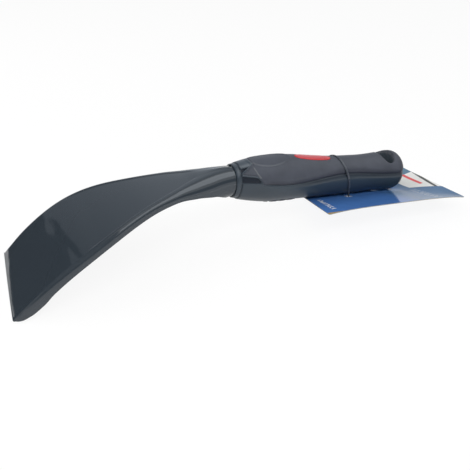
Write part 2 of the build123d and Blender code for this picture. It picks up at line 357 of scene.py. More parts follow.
# ---------- materials of the tool and the tie
def lacquer():
    """Glossy, nearly black navy lacquer with a faint ripple and a fine orange peel."""
    material, tree, shader = new_material("lacquered_steel", (0.026, 0.034, 0.043), 0.07)
    at = object_place(tree)
    ripple = bump(noise(at, 55, 1.0), 0.35, 0.25)
    feed(shader, "Normal", bump(noise(at, 700, 2.0), 0.12, 0.02, Normal=ripple))
    feed(shader, "Roughness", mapped(noise(at, 240, 3.0), 0.3, 0.8, 0.03, 0.07))
    return material


def hard_plastic():
    """Blue-grey moulded plastic with a fine spark-eroded grain; painted light lightens it, painted shade
    darkens it and dulls its gloss.
    """
    material, tree, shader = new_material("hard_plastic", (0.026, 0.034, 0.045), 0.34)
    at = object_place(tree)
    grain(shader, at, 3200, 2.0, 0.15, 0.03)
    patches = noise(at, 60, 2.0)
    color = mixed(mapped(patches, 0.3, 0.7), (0.019, 0.029, 0.04), (0.025, 0.036, 0.049))
    # painted light lightens the colour and painted shade darkens it
    feed(shader, "Base Color", painted_light_and_shade(tree, color, (0.08, 0.095, 0.11), (0.012, 0.016, 0.024)))
    feed(shader, "Roughness", mapped(patches, 0.3, 0.7, 0.3, 0.4))
    feed(shader, "Specular IOR Level", mapped(mesh_share(tree, "shade"), 0.0, 1.0, 0.5, 0.25))
    return material


def soft_rubber():
    """Matte purple-grey soft grip with a slight dusty bloom."""
    material, tree, shader = new_material("soft_rubber", (0.05, 0.053, 0.065), 0.5, 0.25)
    at = object_place(tree)
    grain(shader, at, 2600, 3.0, 0.2, 0.05)
    bloom = noise(at, 90, 4.0, 0.6)
    color = mixed(mapped(bloom, 0.35, 0.75), (0.042, 0.047, 0.06), (0.058, 0.064, 0.081))
    # painted light lightens the colour and painted shade darkens it
    feed(shader, "Base Color", painted_light_and_shade(tree, color, (0.13, 0.14, 0.15), (0.018, 0.019, 0.028)))
    feed(shader, "Roughness", mapped(bloom, 0.3, 0.8, 0.44, 0.58))
    return material


def red_plastic():
    material, tree, shader = new_material("badge_plastic", (0.5, 0.03, 0.035), 0.25)
    at = object_place(tree)
    grain(shader, at, 1500, 2.0, 0.1, 0.02)
    feed(shader, "Base Color", mixed(noise(at, 500, 3.0), (0.42, 0.022, 0.028), (0.58, 0.04, 0.045)))
    return material


def nylon():
    material, tree, shader = new_material("tie_nylon", (0.04, 0.047, 0.06), 0.3)
    at = object_place(tree)
    grain(shader, at, 1800, 2.0, 0.15, 0.03)
    feed(shader, "Roughness", mapped(noise(at, 300, 2.0), 0.3, 0.7, 0.25, 0.38))
    return material


def bare_steel():
    """Steel with drawing marks along the tang."""
    material, tree, shader = new_material("bare_steel", (0.45, 0.45, 0.46), 0.35)
    shader.inputs["Metallic"].default_value = 1.0
    stretched = node(tree, "ShaderNodeMapping", {"Vector": object_place(tree), "Scale": (4, 60, 60)})
    grain(shader, stretched.outputs["Vector"], 40, 4.0, 0.3, 0.05)
    return material


# ---------- blade
spine_points = [(0, 1.15), (3.5, 4.55), (8, 8.4), (20, 17.2), (40, 28.7), (60, 36.3), (80, 40.8), (98, 43.0),
                (110, 44.1), (122, 44.7), (130, 44.7), (neck_end, 43.83)]
width_points = [(0, 32.4), (1.3, 33.7), (3.5, 34.2), (8, 34.8), (20, 35.6), (40, 34.7), (60, 29.5),
                (80, 21.8), (98, 16.8), (110, 14.4), (122, 12.2), (130, 10.6), (neck_end, neck_half_width)]
corner_points = [(0, 3.0), (60, 3.0), (80, 3.3), (98, 5.0), (110, 8.0), (122, 9.8), (130, 9.6),
                 (neck_end, 9.3)]
turn_points = [(0, 8), (0.3, 35), (0.6, 50), (1.3, 73), (3.5, 87), (8, 90), (98, 90), (110, 91), (122, 101),
               (130, 128), (neck_end, 178)]
rim_points = [(0, 0.3), (1.3, 0.5), (3.5, 1.7), (8, 3.0), (13.4, 3.2), (20, 2.4), (40, 2.0), (60, 2.0),
              (80, 1.7), (90, 1.2), (98, 0.7), (110, 0.3), (neck_end, 0.3)]
inset_points = [(40, 1.9), (60, 2.2), (80, 2.7), (90, 3.5), (101, 4.3), (110, 5.2), (120, 6.5)]
tip_slope = tan(radians(42.3))
neck_slope = -tan(handle_slope)
spine_degree, spine_end_weight = 6, 3
face_bow = 0.25
rim_rounding = 0.3
step_start, step_end, step_depth, step_half_width = 47, 113, 0.4, 0.45
edge_reach, edge_thinning = 0.18, 0.12


def fair_spine():
    """One smooth polynomial near all spine points, with the slopes of the tip and the neck."""
    x, z = np.array(spine_points).T / np.array([[neck_end], [1.0]])
    powers = np.arange(spine_degree + 1)
    weight = np.ones(len(x))
    weight[[0, -1]] = spine_end_weight
    rows = [weight[:, None] * x[:, None] ** powers]
    values = [weight * z]
    for end, end_slope in ((0.0, tip_slope), (1.0, neck_slope)):
        rows.append((powers * end ** np.maximum(powers - 1, 0))[None])
        values.append([end_slope * neck_end])
    factors = np.linalg.lstsq(np.vstack(rows), np.concatenate(values), rcond=None)[0]

    def height(at):
        return (np.asarray(at)[..., None] / neck_end) ** powers @ factors

    def slope(at):
        t = np.asarray(at)[..., None] / neck_end
        return (powers * t ** np.maximum(powers - 1, 0)) @ factors / neck_end

    return height, slope


def half_section(half_width, corner, angle, rim, inset, step_down):
    """The +Y half of the sheet's section, (y, height over the spine): out on top, back underneath."""
    flat = half_width - corner * sin(min(angle, pi / 2))
    edge = max(min(half_width - inset, flat - 0.05), 0.0)
    plain = max(edge - 1.0, 0.4 * edge)
    face = np.concatenate([np.linspace(0, 1, 15)[:-1] * plain, np.linspace(plain, edge, 7)[:-1],
                           np.linspace(edge, flat, 4)])
    bow = face_bow * (1 - (face / max(flat, 0.1)) ** 2)
    lowered = step_down * step(edge - step_half_width - face, step_half_width)
    # each outer point is (y, height, and the same two of its normal)
    outer = [(y, up, 0.0, 1.0) for y, up in zip(face, bow - lowered)]
    for part in np.linspace(0, angle, 15)[1:]:
        outer.append((flat + corner * sin(part), corner * cos(part) - corner, sin(part), cos(part)))
    ahead = np.array([cos(angle), -sin(angle)])
    half_run = 0.5 * max(rim - rim_rounding, 0.02)
    for _ in range(2):
        outer.append((*(outer[-1][:2] + half_run * ahead), sin(angle), cos(angle)))
    outer = np.array(outer)
    inner = outer[:, :2] - sheet * outer[:, 2:]
    inner[:len(face), 1] = -sheet
    last, normal = outer[-1, :2], outer[-1, 2:]
    rounded = [last - sheet / 2 * normal + sheet / 2 * cos(part) * normal + rim_rounding * sin(part) * ahead
               for part in np.linspace(0, pi, 7)[1:-1]]
    return np.vstack([outer[:, :2], rounded, inner[::-1]])


def make_blade(material):
    height, slope = fair_spine()
    fine = [0.0, 0.12, 0.3, 0.6, 1.0, 1.5, 2.1, 2.8, 3.6, 4.4, 5.2, 6.0]
    x = np.concatenate([fine, np.arange(6.8, neck_end, 0.8), [neck_end]])
    sizes = [spline(width_points)(x), eased(corner_points)(x), np.radians(eased(turn_points)(x)),
             eased(rim_points)(x), eased(inset_points)(x),
             step_depth * step(x - step_start, 6) * (1 - step(x - step_end, 5))]
    points = []
    for along, *section_sizes in zip(x, *sizes):
        half = half_section(*section_sizes)
        # the other half is its mirror; the middle points are shared
        ring = np.vstack([half, (half[::-1] * [-1, 1])[1:-1]])
        rise = slope(along)
        normal = np.array([-rise, 0, 1]) / sqrt(1 + rise * rise)
        base = np.array([along, 0, height(along)])
        points.append(base + ring[:, :1] * [0, 1, 0] + ring[:, 1:] * normal)
    # the closed neck runs on into the handle
    points.append(points[-1] + axis * neck_insertion)
    # blunt working edge: a little longer and thinner than the sheet
    first = points[0]
    n = len(first)
    partner = (len(half) - 1 - np.arange(n)) % n
    rise = slope(0)
    start = np.array([1, 0, rise]) / sqrt(1 + rise * rise)
    drawn = first + (first[partner] - first) * edge_thinning
    points[0] = first + start * edge_reach
    points[1] = points[1] + start * edge_reach / 2
    points.insert(0, drawn)
    rows = len(points)
    faces = grid_faces(rows, n, closed=True)
    # both ends are closed between the skins
    for row, turned in ((0, False), (rows - 1, True)):
        for a in range(n):
            b = (a + 1) % n
            c, d = partner[b], partner[a]
            if a < c and len({a, b, c, d}) >= 3:
                quad = tuple(row * n + q for q in dict.fromkeys((a, b, c, d)))
                faces.append(quad if turned else tuple(reversed(quad)))
    piece("blade_skin", np.vstack(points), faces, material, "lacquered_steel", "blade")


# ---------- handle
handle_points = [(0, 10.4), (5, 11.8), (11, 13.0), (19, 14.2), (30, 14.95), (44, 14.6), (60, 13.8),
                 (77, 13.2), (94, 13.0), (112, 13.3), (124, 13.83), (handle_length, 13.45)]
sag_points = [(0, 0), (30, 0), (44, 0.1), (60, 0.8), (77, 1.2), (94, 1.2), (112, 0.5), (124, -0.2),
              (handle_length, -0.2)]
parting = [(16.5, 2.4), (32, 1.3), (50, 2.2), (66, 4.1), (84, 5.1), (104, 3.8), (120, 3.3), (138, 4.2)]
grip_front = [(138, 22), (11.5, 22), (11.5, 12.4), (9.4, 11.6), (3.8, 7.7), (13.2, 7.1), (15.2, 4.8)]
lower_pocket = [(3.1, 7.0), (12.6, 6.5), (14.6, 4.6), (14.8, 3.0), (3.1, 3.0)]
upper_pocket = [(3.1, 8.3), (3.1, 10.2), (8.8, 11.5), (5.5, 9.6)]
pocket_edge = [(3.6, 10.7), (9.0, 12.0)]
grip_crease = [(11.3, 10.8), (12.7, 8.4), (14.4, 6.4)]

seam_depth, seam_width = 0.4, 0.35
ledge_depth, ledge_width, lip_width = 0.85, 3.2, 3.0
tab_end = 19
pad_seam_depth, pad_seam_width, pad_lift = 0.25, 0.3, 0.3
pocket_depth = 1.2
rib_pitch, rib_depth, rib_width, rib_reach = 6.1, 0.6, 0.85, 2.1
thumb_centre, thumb_half_length, thumb_half_width, thumb_depth = 24.3, 13.8, 7.8, 1.1
crease_height, crease_width = 0.25, 0.35
badge_gap, badge_seat = 0.25, 0.35
thumb_rim_height = 0.3
dish_floor, dish_rise, dish_start = 2.0, 13.0, hole_station - 8
# the dish's half length and half width at its floor, and how much they grow over its rise
dish_half_length, dish_lengthening, dish_half_width, dish_widening = 4.95, 0.35, 5.55, 6.65
hole_reach = 9

# how strong the painted shade and the painted light are
over_shade, under_shade, rear_shade = 0.8, 0.6, 0.65
thumb_highlight, crease_highlight, dish_light, underside_light = 0.45, 0.8, 0.4, 0.5

# columns of the handle's fields: five are above 0 where a piece stays, two are shares of painted shade and
# painted light for the materials
GRIP, PAD, OFF_HOLE, CORE, OFF_PAD, SHADE, PAINTED_LIGHT = range(7)

radius_at = spline(handle_points)
sag_at = eased(sag_points)
parting_at = spline(parting)


def place(s, y, h):
    """Points from distances along the handle's axis, across it and above it."""
    s, y, h = np.broadcast_arrays(s, y, h)
    return mouth + s[..., None] * axis + y[..., None] * across + h[..., None] * above


def edge_distance(corners, ends, x, y):
    """Distance to the nearest of the straight lines from each corner to its end."""
    nearest = np.full(np.shape(x), np.inf)
    for (x1, y1), (x2, y2) in zip(corners, ends):
        ex, ey = x2 - x1, y2 - y1
        t = np.clip(((x - x1) * ex + (y - y1) * ey) / (ex * ex + ey * ey), 0, 1)
        nearest = np.minimum(nearest, np.hypot(x - x1 - t * ex, y - y1 - t * ey))
    return nearest


def inside_distance(outline, x, y):
    """Distance to a closed outline: above 0 inside, below 0 outside."""
    corners = np.array(outline, float)
    ends = np.roll(corners, -1, axis=0)
    inside = np.zeros(np.shape(x), bool)
    for (x1, y1), (x2, y2) in zip(corners, ends):
        crosses = (y1 > y) != (y2 > y)
        with np.errstate(divide="ignore", invalid="ignore"):
            inside ^= crosses & (x < x1 + (y - y1) * (x2 - x1) / (y2 - y1))
    nearest = edge_distance(corners, ends, x, y)
    return np.where(inside, nearest, -nearest)


def grip_outline():
    along = np.linspace(parting[0][0], parting[-1][0], 60)
    return grip_front + list(zip(along, parting_at(along)))


def soft_min(a, b, width):
    """The smaller of two heights, with a rounded edge of about that width between them."""
    return a - width * np.logaddexp(0, (a - b) / width)


def handle_rows():
    """Stations down the handle, closer where its shape is finer, and the outside's radius there."""
    end_bulge = 0.25
    end = handle_length - end_bulge
    bend = end - end_rounding
    lead = collar_length + groove_width
    body = np.concatenate([np.arange(lead + 0.35, tab_end, 0.25), np.arange(tab_end, dish_start, 0.5),
                           np.arange(dish_start, bend, 0.22)])
    turn = np.linspace(0, pi / 2, 22)
    flat = np.array([0.86, 0.7, 0.52, 0.34, 0.18, 0.03])
    s = np.concatenate([[collar_length + 0.05, lead - 0.05, lead, lead + 0.08], body,
                        bend + end_rounding * np.sin(turn), end + end_bulge * (1 - flat ** 2)])
    base = radius_at(s)
    groove = radius_at(0) + collar_lip - groove_depth
    r = base.copy()
    r[:4] = groove, groove, groove + 0.15, base[3] - 0.2
    rounded = slice(len(s) - len(turn) - len(flat), len(s) - len(flat))
    last = radius_at(handle_length) - end_rounding
    r[rounded] = last + (base[rounded] - last) * np.cos(turn)
    r[rounded.stop:] = last * flat
    return s, r


def pad_distance(s, y, angle):
    """Distance to the finger pad's outline: above 0 inside, below 0 outside."""
    at_pad = np.hypot(np.maximum(np.abs(s - pad_centre) - (pad_length - pad_width) / 2, 0), y)
    return np.where(np.sin(angle) < 0, pad_width / 2 - at_pad, -pad_width)


def behind_tab(s):
    """0 beside the grip's front tab, 1 behind it."""
    return step(s - tab_end, 5)


def relief(s, y, h, to_grip, to_pad, reach):
    """How deep the outside lies under the plain handle, but for pockets and crease."""
    depth = seam_depth * bell(to_grip, seam_width)
    ledge = np.clip(1 + to_grip / ledge_width, 0, 1) * (to_grip < 0) * behind_tab(s)
    depth += ledge_depth * ledge ** 1.3
    lip = np.clip(1 - to_grip / lip_width, 0, 1) * (to_grip >= 0) * behind_tab(s)
    depth += ledge_depth * lip ** 1.6
    depth += pad_seam_depth * bell(to_pad, pad_seam_width)
    depth -= pad_lift * step(to_pad - pad_seam_width, pad_seam_width)
    ribs = (s - pad_centre) / rib_pitch - 0.5
    rib = bell((ribs - np.round(ribs)) * rib_pitch, rib_width) * (np.abs(ribs + 0.5) < rib_reach)
    depth += rib_depth * rib * step(to_pad, 0.4)
    thumb = thumb_depth * (1 - np.clip(reach, 0, 1) ** 2) ** 0.8 - thumb_rim_height * bell(reach - 1.05, 0.08)
    badge_edge = (np.abs((s - badge_centre) / (badge_length / 2 + badge_gap)) ** badge_power
                  + np.abs(y / (badge_width / 2 + badge_gap)) ** badge_power) ** (1 / badge_power)
    return depth + np.where(h > 0, thumb + badge_seat * step(1.03 - badge_edge, 0.04), 0)


def pocket_share(s, h, to_grip):
    """1 on the floors of the two side pockets, 0 around them."""
    shares = [step(inside_distance(outline, s, h) - 0.2, 0.25) for outline in (lower_pocket, upper_pocket)]
    return np.max(shares, axis=0) * (to_grip < 0.1)


def dish_level(ds, y):
    """Height at which the dish's widening ellipse passes through a point, seen along the hole."""
    def outside(level):
        t = (level - dish_floor) / dish_rise
        length_share = ds / (dish_half_length + dish_lengthening * t)
        width_share = y / (dish_half_width + dish_widening * t)
        return length_share ** 2 + width_share ** 2 > 1

    return halved(dish_floor, 40.0, 24, outside)


def sink_hole(s, y, plain):
    """The outside's height with the hang hole's dish and lower mouth, and the distance to the hole."""
    ds = s - hole_station
    rho = np.hypot(ds, y)
    flare = lower_floor + (rho - hole_radius) * (lower_level - lower_floor) / (lower_flare - hole_radius)
    h = np.where(plain > 0, soft_min(plain, dish_level(ds, y), 0.35), -soft_min(-plain, flare, 0.3))
    near = rho < hole_reach
    h = np.where((h > 0) & near, np.maximum(h, dish_floor), h)
    h = np.where((plain < 0) & near, np.minimum(h, -lower_floor), h)
    return h, rho - hole_radius


def shaded_share(s, to_grip, pockets):
    """Shade painted on the outside: on the pocket floors, in a band along the parting line and at the rear
    end.
    """
    over_line = over_shade * (to_grip >= 0) * np.clip(1 - to_grip / 3.4, 0, 1)
    under_line = under_shade * (to_grip < 0) * step(to_grip + 1.9, 0.8) * step(s - 45, 12)
    rear = rear_shade * step(s - handle_length + 5.5, 6)
    return np.max([pockets, behind_tab(s) * (over_line + under_line), rear], axis=0)


def painted_light_share(s, y, h, sunk_top, angle, reach, crease):
    """Light painted on the outside: highlights on the thumb dish's near rim, the crease and the upper
    pocket's edge, and light in the hole's dish and on the underside.
    """
    thumb_rim = thumb_highlight * bell(reach - 1.03, 0.05) * step(-y - 2, 2) * step(31 - s, 5) * (h > 0)
    pocket_rim = bell(edge_distance(pocket_edge, pocket_edge[1:], s, h), 0.4) * (y < 0)
    hole_dish = dish_light * step(sunk_top - 0.6, 0.4)
    underside = underside_light * step(-np.sin(angle) - 0.65, 0.25) * step(s - 62, 12)
    return np.max([thumb_rim, crease_highlight * crease, pocket_rim, hole_dish, underside], axis=0)


def make_handle(core_material, grip_material):
    s, r = handle_rows()
    s, angle = np.meshgrid(s, round_turn(480), indexing="ij")
    r = np.repeat(r[:, None], angle.shape[1], axis=1)
    sag = sag_at(s)
    y = -r * np.cos(angle)
    h = -sag + r * np.sin(angle)
    to_grip = inside_distance(grip_outline(), s, h)
    to_pad = pad_distance(s, y, angle)
    reach = np.sqrt(((s - thumb_centre) / thumb_half_length) ** 2 + (y / thumb_half_width) ** 2)
    pockets = pocket_share(s, h, to_grip)
    crease = bell(edge_distance(grip_crease, grip_crease[1:], s, h), crease_width) * (y < 0)
    depth = relief(s, y, h, to_grip, to_pad, reach) + pocket_depth * pockets - crease_height * crease
    y = -(r - depth) * np.cos(angle)
    plain = -sag + (r - depth) * np.sin(angle)
    h, off_hole = sink_hole(s, y, plain)
    sunk = np.abs(plain - h)

    # in the hole's dish the grip ends where the dish gets deep
    in_dish = np.where(plain > 0, np.minimum(inside_distance(grip_outline(), s, h), 2.0 - sunk), to_grip)
    in_grip = np.where(sunk > 0.3, in_dish, to_grip)
    # shares of painted shade and painted light, which the materials mix into the colour
    shaded = shaded_share(s, to_grip, pockets)
    painted_light = painted_light_share(s, y, h, sunk * (plain > 0), angle, reach, crease)
    fields = np.stack([in_grip, to_pad, off_hole, -in_grip, -to_pad, shaded, painted_light], axis=-1).reshape(-1, 7)
    rows, columns = s.shape
    faces = grid_faces(rows, columns, closed=True)
    faces.append(tuple((rows - 1) * columns + k for k in range(columns)))
    whole = place(s, y, h).reshape(-1, 3), faces, fields
    core_points, core_faces, core_fields = clip_all(whole, CORE, OFF_PAD, OFF_HOLE)
    grip_points, grip_faces, grip_fields = clip_all(whole, GRIP, OFF_HOLE)
    pad_points, pad_faces, _ = clip_all(whole, PAD)

    # the round wall of the hang hole
    turn = round_turn(96)
    heights = np.linspace(dish_floor, -lower_floor, 5)
    wall = np.vstack([place(hole_station + hole_radius * np.cos(turn), hole_radius * np.sin(turn), level)
                      for level in heights])
    piece("hole_wall", wall, grid_faces(len(heights), turn.size, closed=True), core_material, "hard_plastic")
    core = piece("core_skin", core_points, core_faces, core_material, "hard_plastic", "handle_core")
    grip = piece("grip_skin", grip_points, grip_faces, grip_material, "soft_grip", "upper_grip")
    # each skin carries its shares of painted shade and painted light as attributes
    for skin, skin_fields in ((core, core_fields), (grip, grip_fields)):
        for name, column in (("shade", SHADE), ("painted_light", PAINTED_LIGHT)):
            layer = skin.data.attributes.new(name, "FLOAT", "POINT")
            layer.data.foreach_set("value", skin_fields[:, column].astype(np.float32))
    piece("pad_skin", pad_points, pad_faces, grip_material, "soft_grip", "finger_grip")


def make_collar(material):
    bore = neck_half_width + 0.05
    small = radius_at(0)
    lip = small + collar_lip
    profile = [(0.15, bore), (0.0, bore + 0.15), (0.0, small - 0.4), (0.06, small - 0.2), (0.2, small - 0.06),
               (0.4, small + 0.03), (collar_length - 0.3, lip - 0.02), (collar_length - 0.1, lip - 0.1),
               (collar_length, lip - 0.3), (collar_length, bore)]
    turn = round_turn(144)
    rows = np.vstack([place(s, -r * np.cos(turn), r * np.sin(turn)) for s, r in profile])
    faces = ring_faces(len(profile), turn.size)
    piece("collar_ring", rows, faces, material, "hard_plastic", "front_collar", sharp=40)


def blunt(value, exponent):
    """Sine or cosine for an oval: an ellipse at exponent 1, with blunter ends under 1."""
    return np.sign(value) * np.abs(value) ** exponent


def make_badge(material):
    """A shallow oval plate that follows the handle's top, with a rounded edge."""
    turn = round_turn(160)
    profile = [(share, 0.25) for share in (0.01, 0.2, 0.4, 0.6, 0.78, 0.88)]
    profile += [(0.93, 0.24), (0.965, 0.2), (0.985, 0.12), (1.0, -0.05), (1.0, -0.7)]
    rows = []
    for share, up in profile:
        s = badge_centre + share * badge_length / 2 * blunt(np.cos(turn), 2 / badge_power)
        y = share * badge_width / 2 * blunt(np.sin(turn), 2 / badge_power)
        r = radius_at(s) + up
        rows.append(place(s, y, np.sqrt(r * r - y * y) - sag_at(s)))
    faces = grid_faces(len(rows), turn.size, closed=True)
    faces.append(tuple(reversed(range(turn.size))))
    piece("badge_plate", np.vstack(rows), faces, material, "badge_plastic", "badge")


# ---------- card
card_along = np.array([cos(card_turn), sin(card_turn)])
card_across = np.array([-sin(card_turn), cos(card_turn)])
near_height, near_fall = 18.6, 6.8
press_height, press_slope, press_rise = 10.65, -0.152, 0.365
bend_place, bend_width = 78.0, 4.0
lift_height, lift_place, lift_width = 0.28, 52.0, 9.0
bow_height = 2.1
rest_height, rest_width = 0.35, 0.8
print_unit = 100.0


def softened(value, width):
    """The value where it is above 0, otherwise 0, with a rounded corner of that width between."""
    return width * np.logaddexp(0, value / width)


def card_height(along, over):
    """Height of the card's middle layer: its near edge is up, the handle presses it, the rest lies flat."""
    share = along / card_length
    near = near_height - near_fall * share
    bow = bow_height * (1 - (2 * share - 1) ** 4)
    pressed = press_height + press_slope * along + press_rise * softened(along - bend_place, bend_width)
    pressed = pressed + lift_height * bell(along - lift_place, lift_width)
    middle = -(card_corner[1] + along * card_along[1]) / card_across[1]
    rest = 1 - over / middle
    raised = pressed + (near - pressed) * rest + bow * np.maximum(rest, 0) ** 2
    return rest_height + softened(raised - rest_height, rest_width)


def on_card(spot):
    """A place seen from above, along the card and over it."""
    offset = spot[:2] - card_corner
    return offset @ card_along, offset @ card_across


tie_centre = mouth + tie_station * axis - sag_at(tie_station) * above
tie_up = np.array([-sin(tie_lean), 0, cos(tie_lean)])
tie_normal = np.array([cos(tie_lean), 0, sin(tie_lean)])


def tie_spot(over, drop):
    """A place in the loop's plane, across from its centre and below it."""
    return tie_centre + over * across - drop * tie_up


def card_drop(over):
    """How far below the loop's centre, in its plane, the card's middle layer lies."""
    def over_card(drop):
        spot = tie_spot(over, drop)
        return spot[2] > card_height(*on_card(spot))

    return float(halved(0.0, 60.0, 40, over_card))


tie_holes = [tie_spot(side, card_drop(side)) for side in (tie_near, tie_far)]


def make_card(material, edge_material):
    columns, rows = np.linspace(0, card_length, 195), np.linspace(0, card_depth, 137)
    along, over = np.meshgrid(columns, rows, indexing="ij")
    flat = card_corner + along[..., None] * card_along + over[..., None] * card_across
    top = np.concatenate([flat, card_height(along, over)[..., None] + card_thickness / 2], axis=-1)
    gap_x = np.maximum(np.abs(along - card_length / 2) - card_length / 2 + card_corner_radius, 0)
    gap_y = np.maximum(np.abs(over - card_depth / 2) - card_depth / 2 + card_corner_radius, 0)
    fields = [card_corner_radius + 1e-6 - np.hypot(gap_x, gap_y)]
    for spot in tie_holes:
        fields.append(np.hypot(flat[..., 0] - spot[0], flat[..., 1] - spot[1]) - card_hole_radius)
    fields = np.stack(fields + [along, over], axis=-1).reshape(-1, 5)
    faces = [tuple(reversed(face)) for face in grid_faces(*along.shape)]
    points, faces, fields = clip_all((top.reshape(-1, 3), faces, fields), 0, 1, 2)
    all_points, all_faces = thicken(points, faces, points - [0, 0, card_thickness])
    card = piece("card_sheet", all_points, all_faces, material, "printed_card", "sales_card", sharp=40)
    card.data.materials.append(edge_material)
    for polygon in list(card.data.polygons)[2 * len(faces):]:
        polygon.material_index = 1
    # the print's coordinates are along the card and over it, in tenths of a metre
    layer = card.data.uv_layers.new(name="print")
    corners = np.zeros(len(card.data.loops), int)
    card.data.loops.foreach_get("vertex_index", corners)
    values = np.vstack([fields[:, 3:], fields[:, 3:]])[corners] / print_unit
    layer.data.foreach_set("uv", values.astype(np.float32).ravel())


# ---------- cable tie
def card_dip():
    """How far the card sinks under the straight line between the tie's two holes."""
    near, far = card_drop(tie_near), card_drop(tie_far)
    return max(card_drop(tie_near + t * (tie_far - tie_near)) - near - t * (far - near)
               for t in np.linspace(0, 1, 21))


# the strap's inner face under the two holes, above the loop's centre
near_low, far_low = (-card_drop(side) - card_dip() - tie_below - card_thickness / 2
                     for side in (tie_near, tie_far))


def tie_direction(beta):
    return np.cos(beta)[:, None] * across + np.sin(beta)[:, None] * tie_up


def tie_reach(beta, shift, offset):
    """Distance from the loop's centre to the strap's face, which lies offset outside the inner one."""
    direction = tie_direction(beta)
    start = tie_centre + shift * tie_normal - mouth

    def within(guess):
        spot = start + guess[:, None] * direction
        s = spot @ axis
        return np.hypot(spot @ across, spot @ above + sag_at(s)) <= radius_at(s) + tie_gap + offset

    reach = halved(np.full(beta.shape, 4.0), 40.0, 30, within)
    # straight legs to the holes and the run under the card
    radius = radius_at(tie_station) + tie_gap + offset
    stretch = 1 / cos(tie_lean + handle_slope)
    near_corner = (tie_near + tie_thickness / 2 - offset, near_low - offset)
    far_corner = (tie_far - tie_thickness / 2 + offset, far_low - offset)

    def tangent(corner, side):
        y, q = corner[0], corner[1] / stretch
        turn = atan2(q, y) + side * acos(radius / sqrt(y * y + q * q))
        return radius * cos(turn), radius * sin(turn) * stretch

    outline = [tangent(near_corner, -1), near_corner, far_corner, tangent(far_corner, 1)]
    for (x1, y1), (x2, y2) in zip(outline, outline[1:]):
        cx, cy = np.cos(beta), np.sin(beta)
        cross = cx * (y2 - y1) - cy * (x2 - x1)
        with np.errstate(divide="ignore", invalid="ignore"):
            q = (x1 * (y2 - y1) - y1 * (x2 - x1)) / cross
            t = (x1 * cy - y1 * cx) / cross
        reach = np.where((q > 0) & (t >= 0) & (t <= 1), np.maximum(reach, q), reach)
    return reach


def make_tie(material):
    # angles round the loop, closer together at its two lower corners
    beta = [round_turn(240)]
    for corner in ((near_low, tie_near), (far_low, tie_far)):
        beta.append(atan2(*corner) + np.linspace(-0.14, 0.14, 25))
    beta = np.unique(np.round(np.concatenate(beta) % (2 * pi), 4))
    edge, bevel = tie_width / 2, 0.15
    right = [(edge - tie_rounding, 0), (edge, bevel), (edge, tie_thickness - bevel),
             (edge - tie_rounding, tie_thickness)]
    section = right + [(-shift, offset) for shift, offset in reversed(right)]
    rows = [tie_centre + shift * tie_normal + tie_reach(beta, shift, offset)[:, None] * tie_direction(beta)
            for shift, offset in section]
    faces = [tuple(reversed(face)) for face in ring_faces(len(section), len(beta))]
    piece("tie_strap", np.vstack(rows), faces, material, "tie_nylon", "card_tie", sharp=50)
    make_lock(material)


def make_lock(material):
    """The tie's lock under the card: a box with rounded edges, drawn in at its top and foot."""
    half_length, half_width, squareness, sides, gap = 2.5, 2.1, 0.35, 32, 0.02
    profile = [(0.0, 0.86), (0.12, 0.95), (0.35, 1.0), (2.3, 1.0), (2.85, 0.95), (3.1, 0.84), (3.18, 0.7)]
    tilt = atan2(far_low - near_low, tie_far - tie_near)
    along = cos(tilt) * across + sin(tilt) * tie_up
    down = np.cross(along, tie_normal)
    top = tie_centre + (near_low + far_low) / 2 * tie_up + down * gap
    turn = round_turn(sides)
    outline = (half_length * blunt(np.cos(turn), squareness)[:, None] * along
               + half_width * blunt(np.sin(turn), squareness)[:, None] * tie_normal)
    rows = [top + size * outline + depth * down for depth, size in profile]
    faces = grid_faces(len(profile), sides, closed=True)
    faces.append(tuple(reversed(range(sides))))
    faces.append(tuple((len(profile) - 1) * sides + k for k in range(sides)))
    piece("tie_lock", np.vstack(rows), faces, material, "tie_nylon", sharp=50)


# ---------- printed card
blue, deep_blue, painted_light_blue = (0.0625, 0.17, 0.45), (0.052, 0.14, 0.375), (0.1, 0.27, 0.7)
painted_reflection_grey, painted_glare_blue, ring_blue = (0.066, 0.142, 0.24), (0.1, 0.19, 0.27), (0.5, 0.55, 0.62)
white, red, black = (0.78, 0.78, 0.76), (0.72, 0.1, 0.1), (0.06, 0.06, 0.055)
mark_white, mark_grey, board = (0.7, 0.72, 0.75), (0.6, 0.62, 0.66), (0.33, 0.24, 0.12)
# places of the print, along the card and over it
covered_end, ring_radius = 76.0, 2.8
panel_start, panel_end = 83.0, 58.0
bar_along, bar_over = (92.4, 94.8), (35.5, 60.0)
row_along, row_over = (5.4, 8.6), (7.0, 27.0)
faint_along, faint_over = (79.0, 84.5), (2.0, 30.0)
scuffed_over = (40.0, 56.0)


def above_line(value, level, soft):
    """1 where the value is over the level, 0 where it is under it, with a soft step between."""
    return mapped(calc("SUBTRACT", value, level), -soft, soft)


def between(value, low, high, soft):
    return calc("SUBTRACT", above_line(value, low, soft), above_line(value, high, soft))


def plus(first, second, share):
    """first + share * second"""
    return calc("ADD", product(second, share), first)


def ring_mask(along, over, spot):
    """A pale disc round one of the tie's holes."""
    at_x, at_y = on_card(spot)
    from_x, from_y = calc("SUBTRACT", along, at_x), calc("SUBTRACT", over, at_y)
    squares = calc("ADD", product(from_x, from_x), product(from_y, from_y))
    return product(above_line(ring_radius, calc("SQRT", squares), 0.2), 0.35)


